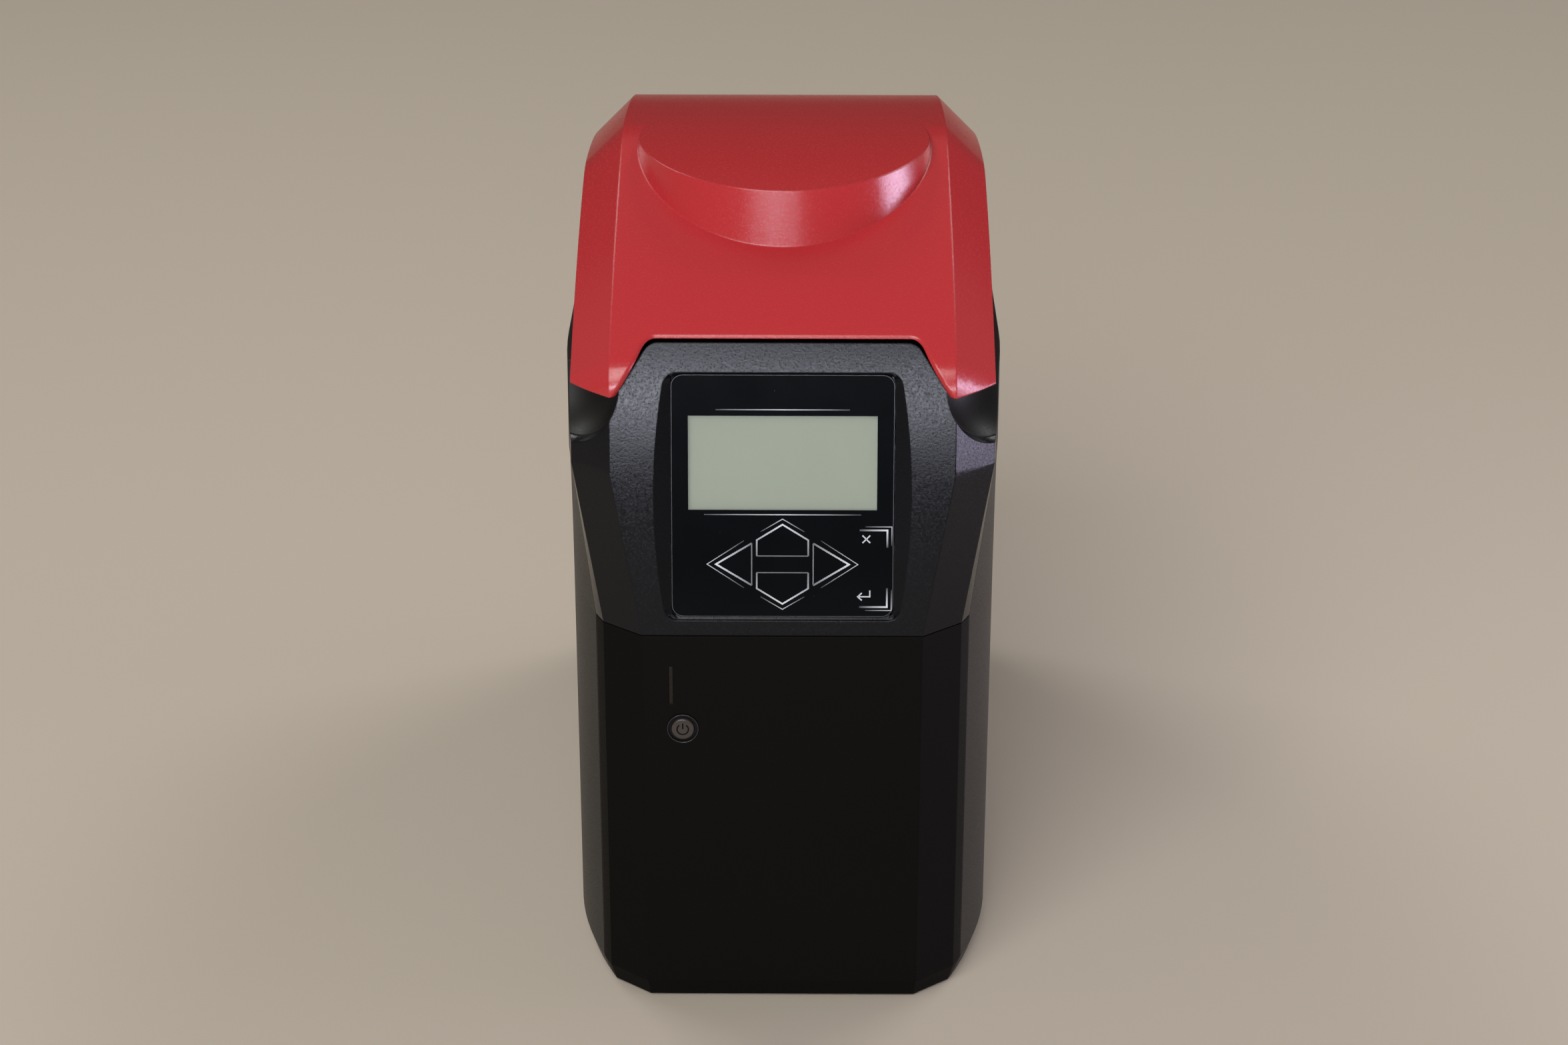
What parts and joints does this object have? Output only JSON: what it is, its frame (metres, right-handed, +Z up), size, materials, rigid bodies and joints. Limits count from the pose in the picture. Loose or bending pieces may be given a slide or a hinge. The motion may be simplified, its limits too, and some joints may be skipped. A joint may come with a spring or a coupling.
{
  "type": "analytical lab mill",
  "caption": "Bench mill that shakes sample tubes: tall body with a leaning keypad and display, and a hinged lid over a round chamber with a crank-driven tube holder.",
  "frame": {"origin": "on the bench, under the middle of the overall box", "axes": "+X to the right as the user faces the display, +Y from the front to the back, +Z up"},
  "size_m": [0.15, 0.301, 0.287],
  "materials": {
    "lid_red": "moulded, satin with a fine grain",
    "body_black": "moulded, fine matt texture",
    "bezel_charcoal": "moulded, coarse soft texture",
    "keypad_black": "smooth film with grey printed keys",
    "clear_window": "clear, smooth",
    "lcd_green": "pale grey-green display",
    "button_bronze": "dull bronze grey",
    "dark_steel": "satin, darkened",
    "steel": "ground or drawn, bright",
    "zinc_plate": "folded sheet, zinc plated",
    "aluminium": "turned and anodised",
    "cast_aluminium": "cast, bead blasted",
    "motor_black": "baked enamel",
    "bronze": "sintered bearing bronze",
    "rubber_black": "moulded, matt",
    "clear_guide": "clear light pipe",
    "liner_black": "moulded",
    "circuit_green": "fibreglass board with solder mask",
    "tube_plastic": "translucent moulded tubes and caps",
    "black_plastic": "moulded",
    "nickel": "nickel plated"
  },
  "bodies": {
    "base": {"main_housing": "body_black", "lower_front_panel": "body_black", "display_bezel": "bezel_charcoal", "keypad_membrane": "keypad_black", "display_window": "clear_window", "lcd_module": "lcd_green", "display_board": "circuit_green", "power_button_ring": "dark_steel", "button_switch": "black_plastic", "button_spring": "steel", "light_guide": "clear_guide", "base_plate": "zinc_plate", "rubber_feet": "rubber_black", "foot_screws": "steel", "deck_plate": "body_black", "chamber_liner": "steel", "chamber_gasket": "rubber_black", "shaft_seal": "bronze", "seal_strips": "rubber_black", "deck_screws": "steel", "hinge_brackets": "dark_steel", "hinge_pins": "steel", "deck_magnets": "nickel", "interlock_switch": "black_plastic", "drive_frame": "cast_aluminium", "drive_isolators": "rubber_black", "guide_rods": "steel", "guide_bridge": "aluminium", "crank_bearings": "steel", "motor_bracket": "zinc_plate", "drive_motor": "motor_black", "drive_belt": "rubber_black", "rear_panel": "body_black", "rear_screws": "steel", "fan_frame": "black_plastic", "power_inlet": "black_plastic", "inlet_pins": "bronze", "power_supply": "zinc_plate", "control_board": "circuit_green", "board_pillars": "nickel"},
    "lid": {"lid_shell": "lid_red", "lid_liner": "liner_black", "interlock_tab": "black_plastic"},
    "power_button": {"power_button": "button_bronze"},
    "crank": {"crank_shaft": "steel", "crank_pulley": "aluminium"},
    "motor_rotor": {"motor_pulley": "aluminium"},
    "carriage": {"carriage_block": "aluminium", "carriage_bushes": "steel", "wrist_pin": "steel", "holder_shaft": "steel", "sample_holder": "aluminium", "sample_tubes": "tube_plastic", "clamp_disc": "aluminium"},
    "connecting_rod": {"connecting_rod": "aluminium"},
    "clamp_knob": {"clamp_knob": "black_plastic"},
    "fan_rotor": {"fan_rotor": "black_plastic"}
  },
  "joints": [
    {"name": "lid_hinge", "type": "hinge", "parent": "base", "child": "lid", "pos_m": [0, 0.13345, 0.2345], "axis": [-1, 0, 0], "range_deg": [0, 78]},
    {"name": "power_button_press", "type": "slide", "parent": "base", "child": "power_button", "axis": [0, 1, 0], "range_m": [0, 0.0012], "stiffness_N_per_m": 400, "deforming": ["button_spring"]},
    {"name": "crank_spin", "type": "hinge", "parent": "base", "child": "crank", "pos_m": [0, -0.04155, 0.062], "axis": [0, 1, 0], "continuous": true},
    {"name": "motor_spin", "type": "hinge", "parent": "base", "child": "motor_rotor", "pos_m": [0, -0.00155, 0.13], "axis": [0, 1, 0], "continuous": true},
    {"name": "carriage_slide", "type": "slide", "parent": "base", "child": "carriage", "axis": [0, 0, 1], "range_m": [-0.004, 0.004]},
    {"name": "rod_swing", "type": "hinge", "parent": "carriage", "child": "connecting_rod", "pos_m": [0, -0.04155, 0.108], "axis": [0, 1, 0], "range_deg": [-5, 5]},
    {"name": "clamp_knob_turn", "type": "hinge", "parent": "carriage", "child": "clamp_knob", "pos_m": [0, -0.04155, 0.252], "axis": [0, 0, 1], "range_deg": [0, 360]},
    {"name": "fan_spin", "type": "hinge", "parent": "base", "child": "fan_rotor", "pos_m": [0, 0.14, 0.15], "axis": [0, 1, 0], "continuous": true}
  ],
  "couplings": [
    {"joint": "motor_spin", "follows": "crank_spin", "ratio": 1.6667}
  ]
}
